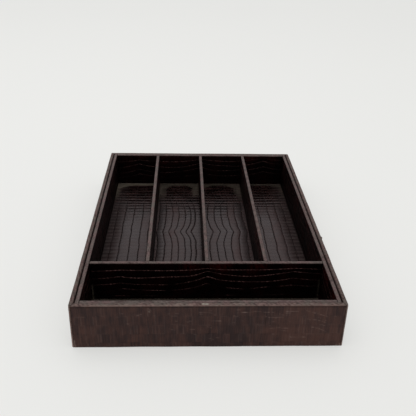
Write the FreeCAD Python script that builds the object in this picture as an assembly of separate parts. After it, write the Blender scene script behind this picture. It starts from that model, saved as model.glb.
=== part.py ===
"""Knife tray: a shallow open box of thin boards, covered inside and out with embossed leather.

The outer case is four rebated wall boards round a base board. Each wall has its own leather,
which folds over the rim and under the base; the side leathers also go a little way round the
corners, where they meet the front and back leathers at a seam. A card fills the underside
between the turned edges, and a suede lining hides both. Inside, one leather sheet covers the
floor. On it stand four liner boards, a shadow gap away from the walls, then a cross divider and
the long dividers behind it, each board with its own folded leather.

Frame: X is the width, Y the depth with the front at -Y, Z is up. The origin is the middle of
the underside. Sizes are in millimetres.
"""

import FreeCAD, Part
import math
import os

from FreeCAD import Vector

# Overall size of the finished tray
tray_width = 280.0
tray_depth = 396.0
tray_height = 53.0

# Boards
wall_board = 3.2  # thickness of the outer wall boards
liner_board = 3.2  # thickness of the liner boards
cross_board = 3.2  # thickness of the cross divider's board
divider_board = 3.0  # thickness of the long dividers' boards
base_board = 2.4  # thickness of the base
rebate_depth = 1.6  # how far the walls are cut away for the base and for each other's ends
board_edge_radius = 0.3  # sanded edges, which the leather folds round

# Leather and lining
leather = 0.8  # thickness of every leather piece
case_corner_radius = 2.0  # upright outside corners of the finished case
corner_return = 2.4  # how far the side leathers come round the corners to the seams
seam_gap = 0.2  # width of those seams
rim_turn_in = 14.0  # how far leather comes down behind a board's top edge
base_turn_in = 15.0  # how far the outer leather is turned under the base
suede = 0.5  # thickness of the lining under the base
suede_inset = 3.0  # bare border between the lining and the case's outline
suede_corner_radius = 4.0
lining_gap = 0.2  # round the edges of the card and of the floor's leather

# Layout
long_compartments = 4  # side by side, behind the cross divider
front_compartment = 68.0  # clear depth of the front compartment
side_gap = 0.6  # shadow gap between the side walls and their liners
end_gap = 0.2  # the same at the front and back walls
joint_gap = 0.15  # where a finished panel's end meets the next one
divider_drop = 0.4  # how far the dividers stop below the rim

overshoot = 1.0  # how far a solid that only trims another one reaches past it

# Levels and thicknesses that follow from the sizes above
board_bottom = suede + leather
base_top = board_bottom + base_board
floor_top = base_top + leather
board_top = tray_height - leather
fold_radius = board_edge_radius + leather
wall_finished = wall_board + 2 * leather
liner_finished = liner_board + 2 * leather
cross_finished = cross_board + 2 * leather
divider_finished = divider_board + 2 * leather
side_rim = wall_finished + side_gap + liner_finished
end_rim = wall_finished + end_gap + liner_finished
inside_width = tray_width - 2 * side_rim
cross_front = -tray_depth / 2 + end_rim + front_compartment
cross_back = cross_front + cross_finished
inside_back = tray_depth / 2 - end_rim

# The sides of the case, a quarter turn about Z apart
sides = ("left", "front", "right", "back")


def outline(corners):
    """Closed outline through (u, v, radius) corners in the XZ plane, with arcs where radius > 0."""
    points = [Vector(u, 0, v) for u, v, _ in corners]
    starts, ends, arcs = [], [], []
    for i, (_, _, radius) in enumerate(corners):
        point = points[i]
        back = (points[i - 1] - point).normalize()
        ahead = (points[(i + 1) % len(points)] - point).normalize()
        if radius <= 0:
            starts.append(point)
            ends.append(point)
            arcs.append(None)
            continue
        half_angle = back.getAngle(ahead) / 2
        reach = radius / math.tan(half_angle)
        inward = (back + ahead).normalize()
        centre = point + inward * (radius / math.sin(half_angle))
        starts.append(point + back * reach)
        ends.append(point + ahead * reach)
        arcs.append(Part.Arc(starts[-1], centre - inward * radius, ends[-1]))
    edges = []
    for i, arc in enumerate(arcs):
        if arc:
            edges.append(arc.toShape())
        start, end = ends[i], starts[(i + 1) % len(points)]
        if start.distanceToPoint(end) > 1e-6:
            edges.append(Part.LineSegment(start, end).toShape())
    return Part.Wire(edges)


def bar(corners, length):
    """A profile in XZ, drawn out along Y and centred on Y = 0."""
    solid = Part.Face(outline(corners)).extrude(Vector(0, length, 0))
    solid.translate(Vector(0, -length / 2, 0))
    return solid


def slab(width, depth, bottom, top, radius=0.0):
    """A flat sheet centred on the Z axis, with rounded upright corners."""
    x, y = width / 2, depth / 2
    wire = outline([(-x, -y, radius), (x, -y, radius), (x, y, radius), (-x, y, radius)])
    wire.rotate(Vector(0, 0, 0), Vector(1, 0, 0), 90)
    wire.translate(Vector(0, 0, bottom))
    return Part.Face(wire).extrude(Vector(0, 0, top - bottom))


def prism(points):
    """An upright prism, taller than the tray, over the (x, y) points."""
    wire = Part.makePolygon([Vector(x, y, -overshoot) for x, y in points + points[:1]])
    return Part.Face(wire).extrude(Vector(0, 0, tray_height + 2 * overshoot))


def place(shape, side):
    """Moves a shape, drawn with its outer face on X = 0, to one side of the case."""
    across = tray_width if side in ("left", "right") else tray_depth
    placed = shape.copy()
    placed.translate(Vector(-across / 2, 0, 0))
    placed.rotate(Vector(0, 0, 0), Vector(0, 0, 1), 90 * sides.index(side))
    return placed


def save(name, shape):
    """Writes one node, which has to be one sound solid, and prints its volume."""
    solids = shape.Solids
    assert len(solids) == 1 and solids[0].isValid(), name
    solids[0].exportStep(os.path.join("parts", name + ".step"))
    print(f"{name}: {solids[0].Volume / 1000:.2f} cm3")


def rounded_case(inset):
    """The case's upright outline, set in by inset, as a tall solid that trims other shapes."""
    radius = max(case_corner_radius - inset, 0)
    width, depth = tray_width - 2 * inset, tray_depth - 2 * inset
    return slab(width, depth, -overshoot, tray_height + overshoot, radius)


def ring(profile, inset):
    """A profile run round all four sides and mitred, with the case's corners rounded."""
    reach = base_turn_in + overshoot
    whole = None
    for side in sides:
        length = tray_depth if side in ("left", "right") else tray_width
        half = length / 2
        mitres = prism([(0, -half), (reach, reach - half), (reach, half - reach), (0, half)])
        run = place(bar(profile, length).common(mitres), side)
        whole = whole.fuse(run) if whole else run
    return whole.removeSplitter().common(rounded_case(inset))


def wall_profile():
    """Section of the wall boards, with the rebate along the foot that holds the base."""
    inner = leather + wall_board
    return [
        (leather, board_bottom, board_edge_radius),
        (leather, board_top, board_edge_radius),
        (inner, board_top, board_edge_radius),
        (inner, base_top, 0),
        (inner - rebate_depth, base_top, 0),
        (inner - rebate_depth, board_bottom, 0),
    ]


def wall_boards():
    """The side walls run through and are rebated at both ends, and the end walls fit between."""
    inner = leather + wall_board
    tongue = inner - rebate_depth
    half_width, half_depth = tray_width / 2, tray_depth / 2
    boards = {}
    end_walls = ring(wall_profile(), leather)
    for side, sign in (("left", -1), ("right", 1)):
        tongues = prism([
            (sign * half_width, -half_depth),
            (sign * (half_width - tongue), -half_depth),
            (sign * (half_width - tongue), half_depth),
            (sign * half_width, half_depth),
        ])
        body = prism([
            (sign * half_width, inner - half_depth),
            (sign * (half_width - inner), inner - half_depth),
            (sign * (half_width - inner), half_depth - inner),
            (sign * half_width, half_depth - inner),
        ])
        side_wall = tongues.fuse(body).removeSplitter()
        boards[side] = end_walls.common(side_wall)
        end_walls = end_walls.cut(side_wall)
    for solid in end_walls.Solids:
        boards["front" if solid.CenterOfMass.y < 0 else "back"] = solid
    return boards


def base_panel():
    """The base, which lies in the rebates along the feet of the walls."""
    inset = leather + wall_board - rebate_depth
    return slab(tray_width - 2 * inset, tray_depth - 2 * inset, board_bottom, base_top)


def case_leather_profile():
    """Section of the outer leather: up the wall, over the rim, down inside and under the base."""
    inner = leather + wall_board
    return [
        (0, suede, fold_radius),
        (0, tray_height, fold_radius),
        (wall_finished, tray_height, fold_radius),
        (wall_finished, tray_height - rim_turn_in, 0),
        (inner, tray_height - rim_turn_in, 0),
        (inner, board_top, board_edge_radius),
        (leather, board_top, board_edge_radius),
        (leather, board_bottom, board_edge_radius),
        (base_turn_in, board_bottom, 0),
        (base_turn_in, suede, 0),
    ]


def between_seams(sign, margin):
    """The front (sign -1) or back (sign 1) of the case between its two seams, grown by margin.

    Seen from above, a seam runs straight from the outer face to the rim's inner corner and on
    under the base.
    """
    lean = (wall_finished - corner_return) / wall_finished
    reach = base_turn_in + margin
    outer = tray_width / 2 - corner_return + lean * overshoot + margin
    inner = outer - lean * (reach + overshoot)
    y_outer = sign * (tray_depth / 2 + overshoot)
    y_inner = sign * (tray_depth / 2 - reach)
    return prism([(-outer, y_outer), (outer, y_outer), (inner, y_inner), (-inner, y_inner)])


def case_leathers():
    """The outer leathers of the four walls, cut apart at the seams."""
    whole = ring(case_leather_profile(), 0)
    post = leather + max(case_corner_radius - leather, 0)
    for x in (-tray_width / 2, tray_width / 2 - post):
        for y in (-tray_depth / 2, tray_depth / 2 - post):
            block = Part.makeBox(post, post, board_top - board_bottom, Vector(x, y, board_bottom))
            corner = block.common(rounded_case(0)).cut(rounded_case(leather))
            whole = whole.fuse(corner)
    whole = whole.removeSplitter()
    covers = {}
    remainder = whole
    for side, sign in (("front", -1), ("back", 1)):
        covers[side] = whole.common(between_seams(sign, -seam_gap / 2))
        remainder = remainder.cut(between_seams(sign, seam_gap / 2))
    for solid in remainder.Solids:
        covers["left" if solid.CenterOfMass.x < 0 else "right"] = solid
    return covers


def underside():
    """The card between the turned edges, and the suede over both."""
    inset = base_turn_in + lining_gap
    card = slab(tray_width - 2 * inset, tray_depth - 2 * inset, suede, board_bottom)
    width, depth = tray_width - 2 * suede_inset, tray_depth - 2 * suede_inset
    return card, slab(width, depth, 0, suede, suede_corner_radius)


def floor_sheet():
    """One leather over the whole base, under the liners and dividers."""
    inset = leather + wall_board + lining_gap
    return slab(tray_width - 2 * inset, tray_depth - 2 * inset, base_top, floor_top)


def panel(start, thickness, length, top, back_leg):
    """A board standing on the floor's leather, and the leather folded over it.

    The finished panel's back is at X = start. The leather reaches the floor in front, and comes
    down to the height back_leg behind.
    """
    near, far = start + leather, start + leather + thickness
    under = top - leather
    board = [
        (near, floor_top, 0),
        (near, under, board_edge_radius),
        (far, under, board_edge_radius),
        (far, floor_top, 0),
    ]
    cover = [
        (start, back_leg, 0),
        (start, top, fold_radius),
        (far + leather, top, fold_radius),
        (far + leather, floor_top, 0),
        (far, floor_top, 0),
        (far, under, board_edge_radius),
        (near, under, board_edge_radius),
        (near, back_leg, 0),
    ]
    return bar(board, length), bar(cover, length)


def liner(side):
    """Board and leather of one liner: the side liners run through, the others fit between them."""
    if side in ("left", "right"):
        gap, length = side_gap, tray_depth - 2 * (wall_finished + end_gap)
    else:
        gap, length = end_gap, inside_width - 2 * joint_gap
    leg = tray_height - rim_turn_in
    pieces = panel(wall_finished + gap, liner_board, length, tray_height, leg)
    return [place(piece, side) for piece in pieces]


def cross_divider():
    """Board and leather of the divider between the front compartment and the long ones."""
    length = inside_width - 2 * joint_gap
    pieces = panel(0, cross_board, length, tray_height - divider_drop, floor_top)
    for piece in pieces:
        piece.rotate(Vector(0, 0, 0), Vector(0, 0, 1), 90)
        piece.translate(Vector(0, cross_front, 0))
    return pieces


def long_divider(middle):
    """Board and leather of a divider between two long compartments, centred on X = middle."""
    near, far = cross_back + joint_gap, inside_back - joint_gap
    pieces = panel(0, divider_board, far - near, tray_height - divider_drop, floor_top)
    for piece in pieces:
        piece.translate(Vector(middle - divider_finished / 2, (near + far) / 2, 0))
    return pieces


def main():
    os.makedirs("parts", exist_ok=True)

    save("base_board", base_panel())
    boards, covers = wall_boards(), case_leathers()
    for side in sides:
        save(f"{side}_wall_board", boards[side])
        save(f"{side}_wall_leather", covers[side])
    card, lining = underside()
    save("underside_card", card)
    save("underside_suede", lining)
    save("floor_leather", floor_sheet())

    for side in sides:
        board, cover = liner(side)
        save(f"{side}_liner_board", board)
        save(f"{side}_liner_leather", cover)

    board, cover = cross_divider()
    save("cross_divider_board", board)
    save("cross_divider_leather", cover)

    bay = (inside_width - (long_compartments - 1) * divider_finished) / long_compartments
    for number in range(1, long_compartments):
        middle = number * (bay + divider_finished) - (inside_width + divider_finished) / 2
        board, cover = long_divider(middle)
        save(f"long_divider_board_{number}", board)
        save(f"long_divider_leather_{number}", cover)

    print(f"long compartments {bay:.1f} wide and {inside_back - cross_back:.1f} long")


main()
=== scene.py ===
import math
import bpy
import numpy as np
from mathutils import Matrix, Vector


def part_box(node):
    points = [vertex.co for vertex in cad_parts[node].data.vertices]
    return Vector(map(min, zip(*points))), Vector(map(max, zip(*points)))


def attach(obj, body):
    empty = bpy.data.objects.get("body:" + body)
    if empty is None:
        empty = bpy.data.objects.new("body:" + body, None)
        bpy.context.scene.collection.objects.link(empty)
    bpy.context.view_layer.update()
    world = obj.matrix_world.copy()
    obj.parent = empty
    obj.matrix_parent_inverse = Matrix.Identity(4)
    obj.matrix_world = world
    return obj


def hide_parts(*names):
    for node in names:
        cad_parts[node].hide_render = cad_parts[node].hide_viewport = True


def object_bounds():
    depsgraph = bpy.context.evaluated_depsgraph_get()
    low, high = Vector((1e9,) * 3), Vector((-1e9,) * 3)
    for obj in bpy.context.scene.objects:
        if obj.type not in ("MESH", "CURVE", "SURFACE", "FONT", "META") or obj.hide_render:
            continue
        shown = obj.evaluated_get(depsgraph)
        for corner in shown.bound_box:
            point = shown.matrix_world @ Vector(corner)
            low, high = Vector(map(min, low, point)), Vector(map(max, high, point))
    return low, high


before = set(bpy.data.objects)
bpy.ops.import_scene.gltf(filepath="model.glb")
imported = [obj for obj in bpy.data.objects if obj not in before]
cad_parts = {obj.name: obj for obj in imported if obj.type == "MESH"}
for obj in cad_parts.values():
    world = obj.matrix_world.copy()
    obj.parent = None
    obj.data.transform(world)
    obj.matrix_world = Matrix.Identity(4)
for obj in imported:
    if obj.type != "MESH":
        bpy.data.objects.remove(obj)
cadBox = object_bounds()
mm = 0.001
print("frame loaded:", len(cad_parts), "nodes")

# Knife tray in crocodile-embossed leather. Every leather of the frame is remade here as an embossed
# skin on its board; the boards, the card and the suede keep their own shapes.
# Coordinates are the frame's: x across, y from the front to the back, z up, in metres.


# Numbers shared by the skins: smooth noise, folded paths and the relief of the scales

def softNoise(u, v, size, seed):
    # sum of seven sine waves in fixed random directions, wavelengths round size, result about -1 to 1
    rng = np.random.default_rng(seed)
    total = np.zeros(np.broadcast(u, v).shape)
    for _ in range(7):
        angle, phase = rng.uniform(0, 2 * np.pi, 2)
        wave = 2 * np.pi / (size * rng.uniform(0.6, 1.6))
        total = total + np.sin((u * np.cos(angle) + v * np.sin(angle)) * wave + phase)
    return total / 3.2


def smoothStep(low, high, value):
    # 0 below low, 1 above high, 3t^2 - 2t^3 between
    t = np.clip((value - low) / (high - low), 0, 1)
    return t * t * (3 - 2 * t)


def cusp(along, kink, period, reach):
    # peaks one period apart: exp(-distance to the nearest kink / reach), with the tip a little rounded
    away = np.abs((along - kink + period / 2) % period - period / 2)
    away = np.hypot(away, 0.12 * reach) - 0.12 * reach
    return np.exp(-away / reach)


def pillow(position, power):
    # height across one scale: 0 at its grooves, where position is whole, and 1 on its flat middle
    fromGroove = np.abs(position - np.round(position))
    return 1 - (1 - 2 * fromGroove) ** power


def scaleChance(i, j, seed):
    # one number from 0 to 1 for each scale, from the fractional part of a large sine
    return np.abs(np.sin(i * 12.9898 + j * 78.233 + seed * 3.7) * 43758.5453) % 1


def strokes(x, z, lines, width):
    # 1 on the given broken lines, fading out over width: nearest distance to any of their pieces
    nearest = np.full(x.shape, 1.0)
    for line in lines:
        for (x1, z1), (x2, z2) in zip(line, line[1:]):
            run, rise = x2 - x1, z2 - z1
            along = ((x - x1) * run + (z - z1) * rise) / (run * run + rise * rise)
            along = np.clip(along, 0, 1)
            nearest = np.minimum(nearest, np.hypot(x - x1 - along * run, z - z1 - along * rise) * mm)
    return np.exp(-(nearest / width) ** 2)


def stations(first, last, fractions):
    # places for grid lines: the same fractions inside every scale from first to last
    whole = np.arange(math.floor(first), math.ceil(last))
    places = (whole[:, None] + np.array(fractions)[None, :]).ravel()
    inside = places[(places > first + 1e-6) & (places < last - 1e-6)]
    return np.concatenate([[first], inside, [last]])


def foldPath(corners, radii):
    # distance table of a path through square corners, each rounded with its own radius
    points = [np.array(corners[0], float)]
    for before, corner, after, radius in zip(corners, corners[1:], corners[2:], radii):
        corner = np.array(corner, float)
        back = np.array(before, float) - corner
        ahead = np.array(after, float) - corner
        back = back / np.linalg.norm(back)
        ahead = ahead / np.linalg.norm(ahead)
        centre = corner + (back + ahead) * radius
        turn = np.linspace(0, np.pi / 2, 9)[:, None]
        points.extend(centre - ahead * radius * np.cos(turn) - back * radius * np.sin(turn))
    points.append(np.array(corners[-1], float))
    points = np.array(points)
    steps = np.linalg.norm(np.diff(points, axis=0), axis=1)
    keep = np.concatenate([[True], steps > 1e-9])
    points = points[keep]
    length = np.concatenate([[0], np.cumsum(np.linalg.norm(np.diff(points, axis=0), axis=1))])
    return points, length


def followPath(path, s):
    # place and outward normal at distance s: the normal is the tangent turned left
    points, length = path
    place = np.stack([np.interp(s, length, points[:, k]) for k in (0, 1)], -1)
    step = 0.15 * mm
    ahead = np.stack([np.interp(s + step, length, points[:, k]) for k in (0, 1)], -1)
    behind = np.stack([np.interp(s - step, length, points[:, k]) for k in (0, 1)], -1)
    tangent = ahead - behind
    tangent = tangent / np.linalg.norm(tangent, axis=-1, keepdims=True)
    normal = np.stack([-tangent[..., 1], tangent[..., 0]], -1)
    return place, normal


def gridMesh(name, places, flip=False, attributes=None):
    # places is a rows x columns x 3 array; each cell of the grid becomes one face
    rows, columns = places.shape[:2]
    corner = np.arange(rows * columns).reshape(rows, columns)
    quads = np.stack([corner[:-1, :-1], corner[1:, :-1], corner[1:, 1:], corner[:-1, 1:]], -1)
    quads = quads.reshape(-1, 4)
    if flip:
        quads = quads[:, ::-1]
    mesh = bpy.data.meshes.new(name)
    mesh.vertices.add(rows * columns)
    mesh.vertices.foreach_set("co", places.reshape(-1).astype(np.float32))
    mesh.loops.add(quads.size)
    mesh.loops.foreach_set("vertex_index", quads.reshape(-1).astype(np.int32))
    mesh.polygons.add(len(quads))
    mesh.polygons.foreach_set("loop_start", np.arange(0, quads.size, 4, dtype=np.int32))
    mesh.update(calc_edges=True)
    mesh.polygons.foreach_set("use_smooth", np.ones(len(quads), bool))
    for key, values in (attributes or {}).items():
        layer = mesh.attributes.new(key, "FLOAT", "POINT")
        layer.data.foreach_set("value", values.reshape(-1).astype(np.float32))
    mesh.validate()
    piece = bpy.data.objects.new(name, mesh)
    bpy.context.scene.collection.objects.link(piece)
    return piece


def giveThickness(piece, thickness):
    # closes a skin into a thin solid, grown inwards from its grain side
    solidify = piece.modifiers.new("thickness", "SOLIDIFY")
    solidify.thickness = thickness
    solidify.offset = -1
    solidify.use_quality_normals = True


def finishPiece(piece, node, material):
    piece.data.materials.append(material)
    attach(piece, "root")
    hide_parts(node)


# Materials

def addNode(tree, kind, **values):
    made = tree.nodes.new(kind)
    for key, value in values.items():
        if hasattr(made, key) and key not in made.inputs:
            setattr(made, key, value)
        else:
            made.inputs[key].default_value = value
    return made


def plug(tree, value, socket):
    # value is another node's socket, a number or a colour of three numbers
    if isinstance(value, bpy.types.NodeSocket):
        tree.links.new(value, socket)
    elif isinstance(value, tuple):
        socket.default_value = (*value, 1)
    else:
        socket.default_value = value


def mixColour(tree, factor, first, second, kind="MIX"):
    mixer = tree.nodes.new("ShaderNodeMix")
    mixer.data_type = "RGBA"
    mixer.blend_type = kind
    for index, value in ((0, factor), (6, first), (7, second)):
        plug(tree, value, mixer.inputs[index])
    return mixer.outputs[2]


def calculate(tree, kind, first, second=0.0, third=0.0, clamp=False):
    maths = tree.nodes.new("ShaderNodeMath")
    maths.operation = kind
    maths.use_clamp = clamp
    for socket, value in zip(maths.inputs, (first, second, third)):
        plug(tree, value, socket)
    return maths.outputs[0]


def remap(tree, value, low, high, newLow=0.0, newHigh=1.0):
    ranged = addNode(tree, "ShaderNodeMapRange", interpolation_type="SMOOTHSTEP")
    tree.links.new(value, ranged.inputs["Value"])
    ranged.inputs["From Min"].default_value = low
    ranged.inputs["From Max"].default_value = high
    ranged.inputs["To Min"].default_value = newLow
    ranged.inputs["To Max"].default_value = newHigh
    return ranged.outputs["Result"]


def noiseAt(tree, place, scale, detail=3.0, roughness=0.55):
    noise = addNode(tree, "ShaderNodeTexNoise", Scale=scale, Detail=detail, Roughness=roughness)
    tree.links.new(place, noise.inputs["Vector"])
    return noise.outputs["Fac"]


def readAttribute(tree, name):
    return addNode(tree, "ShaderNodeAttribute", attribute_name=name).outputs["Fac"]


def finishShader(tree, shader, base, roughness, height, strength, distance):
    # base colour, roughness and a bump from height, as deep as distance
    plug(tree, base, shader.inputs["Base Color"])
    plug(tree, roughness, shader.inputs["Roughness"])
    bump = addNode(tree, "ShaderNodeBump", Strength=strength, Distance=distance)
    tree.links.new(height, bump.inputs["Height"])
    tree.links.new(bump.outputs["Normal"], shader.inputs["Normal"])


def newMaterial(name):
    material = bpy.data.materials.new(name)
    material.use_nodes = True
    tree = material.node_tree
    shader = tree.nodes["Principled BSDF"]
    place = tree.nodes.new("ShaderNodeTexCoord").outputs["Object"]
    return material, tree, shader, place


# edge is the colour of pale marks: on the liner a painted glint on the scales' upper shoulders, on the floor
# a painted sheen on the far rows, on the case pink scuffs and wear with painted highlight on its folds and
# corners. The floor's wear colours are a painted sheen on its flank rows. grooveDark is how much painted
# shade the grooves get.
leatherLooks = {
    "case": {
        "dark": (0.0240, 0.0132, 0.0126),
        "light": (0.0565, 0.0268, 0.0212),
        "wornAndLit": (0.111, 0.069, 0.062),
        "wornGrey": (0.094, 0.075, 0.064),
        "edge": (0.270, 0.185, 0.160),
        "dust": (0.360, 0.330, 0.280),
        "roughness": 0.60,
        "gloss": 0.14,
        "tint": (1.0, 0.93, 0.92),
        "wornRoughness": 0.55,
        "grooveDark": 0.62,
        "grooveRoughness": 0.75,
        "grain": 0.05 * mm,
        "grainScale": 1500,
        "streaks": 0.38,
        "mottle": 0.22,
        "patchRoughness": 0.0,
    },
    "liner": {
        "dark": (0.0008, 0.0003, 0.0003),
        "light": (0.0170, 0.0020, 0.0018),
        "wornAndLit": (0.128, 0.086, 0.082),
        "wornGrey": (0.106, 0.086, 0.078),
        "edge": (0.300, 0.150, 0.138),
        "dust": (0.090, 0.078, 0.058),
        "roughness": 0.42,
        "gloss": 0.06,
        "tint": (1.0, 0.70, 0.66),
        "wornRoughness": 0.5,
        "grooveDark": 0.8,
        "grooveRoughness": 0.8,
        "grain": 0.012 * mm,
        "grainScale": 1700,
        "streaks": 0.0,
        "mottle": 0.3,
        "patchRoughness": 0.0,
    },
    "floor": {
        "dark": (0.0010, 0.0002, 0.0002),
        "light": (0.0200, 0.0072, 0.0062),
        "wornAndLit": (0.060, 0.050, 0.046),
        "wornGrey": (0.054, 0.050, 0.044),
        "edge": (0.036, 0.017, 0.016),
        "dust": (0.130, 0.113, 0.086),
        "roughness": 0.22,
        "gloss": 0.44,
        "tint": (1.0, 0.69, 0.67),
        "wornRoughness": 0.42,
        "grooveDark": 0.92,
        "grooveRoughness": 0.9,
        "grain": 0.004 * mm,
        "grainScale": 1700,
        "streaks": 0.0,
        "mottle": 0.3,
        "patchRoughness": 0.14,
    },
}


def makeLeather(name):
    # colour: each scale between dark and light, with painted shade where attribute groove is: in the grooves,
    # seams and creases, with a painted dark reflection beside the floor's dividers and liners, besides the
    # front's own dark marks; paler where the wear attribute is: real wear, and painted highlight on the
    # floor's flank rows,
    # on the case's folds and corners and over the joints at the ends of the rims; reddish where attribute
    # edge is:
    # a painted glint on the scale shoulders of the liners and dividers, a painted sheen on the floor's far
    # rows, and on the case pink scuffs and wear with painted highlight on its folds and corners; and the dust
    # colour where attribute dust says; on the case that is the bare pale hide of its deepest scuffs
    look = leatherLooks[name]
    material, tree, shader, place = newMaterial(name + "Leather")
    link = tree.links.new
    groove, wornAndLit, edge, dust, tint = (
        readAttribute(tree, key) for key in ("groove", "wornAndLit", "edge", "dust", "tint")
    )
    mottle = noiseAt(tree, place, 60, 5, 0.62)
    speckle = noiseAt(tree, place, 900, 4, 0.65)
    spread = look["mottle"]
    blend = calculate(tree, "MULTIPLY_ADD", remap(tree, mottle, 0.3, 0.7), spread, spread * -0.5)
    if look["streaks"]:
        # upright streaks: the same noise, drawn out along z
        stretch = addNode(tree, "ShaderNodeVectorMath", operation="MULTIPLY")
        link(place, stretch.inputs[0])
        stretch.inputs[1].default_value = (1, 1, 0.07)
        wide = noiseAt(tree, stretch.outputs[0], 480, 2, 0.5)
        fine = noiseAt(tree, stretch.outputs[0], 1000, 2, 0.6)
        both = calculate(tree, "ADD", wide, calculate(tree, "MULTIPLY", fine, 1.3))
        swing = look["streaks"] * 2.6
        streak = calculate(tree, "MULTIPLY_ADD", both, swing, -1.15 * swing)  # 1.15 is the mean of both
        blend = calculate(tree, "ADD", blend, streak)
    blend = calculate(tree, "ADD", blend, tint, clamp=True)
    base = mixColour(tree, blend, look["dark"], look["light"])
    patchy = calculate(tree, "MULTIPLY_ADD", speckle, 1.5, -0.75)
    wornFactor = calculate(tree, "ADD", wornAndLit, calculate(tree, "MULTIPLY", wornAndLit, patchy), clamp=True)
    greying = remap(tree, noiseAt(tree, place, 75, 3, 0.6), 0.38, 0.62)
    wornColour = mixColour(tree, greying, look["wornAndLit"], look["wornGrey"])
    base = mixColour(tree, wornFactor, base, wornColour)
    base = mixColour(tree, edge, base, look["edge"])
    shade = calculate(tree, "MULTIPLY_ADD", groove, -look["grooveDark"], 1.0)
    grey = addNode(tree, "ShaderNodeCombineColor")
    for socket in grey.inputs:
        link(shade, socket)
    base = mixColour(tree, 1.0, base, grey.outputs[0], "MULTIPLY")
    dustFactor = calculate(tree, "MULTIPLY", dust, remap(tree, speckle, 0.2, 0.75, 0.6, 1.0), clamp=True)
    base = mixColour(tree, dustFactor, base, look["dust"])
    rough = calculate(tree, "MULTIPLY_ADD", mottle, 0.16, look["roughness"] - 0.08)
    rough = calculate(tree, "MULTIPLY_ADD", tint, look["patchRoughness"], rough)
    rough = calculate(tree, "MULTIPLY_ADD", wornFactor, look["wornRoughness"] - look["roughness"], rough)
    rough = calculate(tree, "MULTIPLY_ADD", groove, look["grooveRoughness"] - look["roughness"], rough)
    rough = calculate(tree, "MULTIPLY_ADD", dustFactor, 0.45, rough, clamp=True)
    shader.inputs["Specular IOR Level"].default_value = look["gloss"]
    shader.inputs["Specular Tint"].default_value = (*look["tint"], 1)
    pores = addNode(tree, "ShaderNodeTexVoronoi", Scale=look["grainScale"], feature="SMOOTH_F1")
    link(place, pores.inputs["Vector"])
    grain = calculate(tree, "ADD", pores.outputs["Distance"], calculate(tree, "MULTIPLY", speckle, 1.5))
    finishShader(tree, shader, base, rough, grain, 1.0, look["grain"])
    return material


def makeBoardFibre():
    # grey brown fibreboard: fine flecks along and across, almost no gloss
    material, tree, shader, place = newMaterial("boardFibre")
    flecks = noiseAt(tree, place, 700, 5, 0.7)
    patches = noiseAt(tree, place, 40, 3, 0.5)
    base = mixColour(tree, remap(tree, flecks, 0.3, 0.7), (0.17, 0.105, 0.055), (0.34, 0.235, 0.140))
    base = mixColour(tree, remap(tree, patches, 0.3, 0.8, 0.0, 0.25), base, (0.12, 0.075, 0.04))
    finishShader(tree, shader, base, 0.85, flecks, 0.6, 0.05 * mm)
    return material


def makeSuede():
    # brown nap: soft patches where it was stroked, fine fibres in the bump, a little sheen
    material, tree, shader, place = newMaterial("suedeNap")
    nap = noiseAt(tree, place, 2200, 4, 0.75)
    stroked = noiseAt(tree, place, 22, 4, 0.6)
    base = mixColour(tree, remap(tree, stroked, 0.35, 0.65), (0.030, 0.019, 0.013), (0.052, 0.034, 0.025))
    base = mixColour(tree, remap(tree, nap, 0.45, 0.8, 0.0, 0.5), base, (0.085, 0.060, 0.046))
    shader.inputs["Specular IOR Level"].default_value = 0.15
    shader.inputs["Sheen Weight"].default_value = 0.25
    shader.inputs["Sheen Roughness"].default_value = 0.5
    finishShader(tree, shader, base, 0.95, nap, 0.8, 0.12 * mm)
    return material


def makeCard():
    # grey card with short fibres
    material, tree, shader, place = newMaterial("greyCard")
    fibres = noiseAt(tree, place, 1200, 5, 0.7)
    base = mixColour(tree, remap(tree, fibres, 0.3, 0.7), (0.21, 0.18, 0.14), (0.33, 0.29, 0.23))
    finishShader(tree, shader, base, 0.9, fibres, 0.5, 0.03 * mm)
    return material


caseLeather = makeLeather("case")
linerLeather = makeLeather("liner")
floorLeather = makeLeather("floor")
boardFibre = makeBoardFibre()
print("materials made")


# Carried-over pieces of the frame: the boards, the suede and the card

def coverNode(nodeName, material):
    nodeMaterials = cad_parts[nodeName].data.materials
    nodeMaterials.clear()
    nodeMaterials.append(material)


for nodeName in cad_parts:
    if nodeName.endswith("_board") or "_board_" in nodeName:
        coverNode(nodeName, boardFibre)
coverNode("underside_suede", makeSuede())
coverNode("underside_card", makeCard())
print("boards, suede and card covered")


# The floor: one sheet, mirrored about its middle, with long columns of scales running to the back

floorSkin = {
    # grooves between the columns, in millimetres to the left and right of the middle
    "leftLines": [8, 14.5, 22.5, 32, 41, 51, 60.5, 73, 84.5, 97.5, 110.5, 121.5, 131],
    "rightLines": [7.5, 17.5, 27.5, 37.5, 48, 59, 72, 84, 98, 110.5, 121, 131],
    "rowPitch": 9.0 * mm,
    "grooveDepth": 0.42 * mm,
    "grooveWidth": 0.40 * mm,
    "shoulderDepth": 0.10 * mm,
    "shoulderWidth": 1.3 * mm,
    "rowWidth": 0.9 * mm,
    "rowStep": 0.05 * mm,
    "flankStep": 0.20 * mm,
    "farStep": 0.26 * mm,
    "crown": 0.05 * mm,
    "farCrown": 0.20 * mm,
    # these are counted from the front of the tray
    "domedFrom": 258 * mm,
    "domedTo": 300 * mm,
    "farFrom": 294 * mm,
    "farTo": 324 * mm,
    "kink": 232 * mm,
    "period": 98 * mm,
    "kinkReach": 17 * mm,
    "kinkShift": 8.5 * mm,
    "thickness": 0.45 * mm,
    "besideGroove": (0.28, 0.62, 1.3),
    "alongFractions": [0, 0.08, 0.18, 0.40, 0.66, 0.92],
    # wiped clean of dust: x from and to, y of its back edge, radius of its back corners, dust strength
    "wiped": [
        (-126.5, -50, 377, 22, 0.86),
        (-52.5, -12.5, 377.5, 13, 0.46),
        (3, 56, 378.5, 22, 0.40),
        (60, 126, 379, 14, 0.34),
    ],
    "wipedFront": (-124, 124, 72, 10, 0.35),
}


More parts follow.
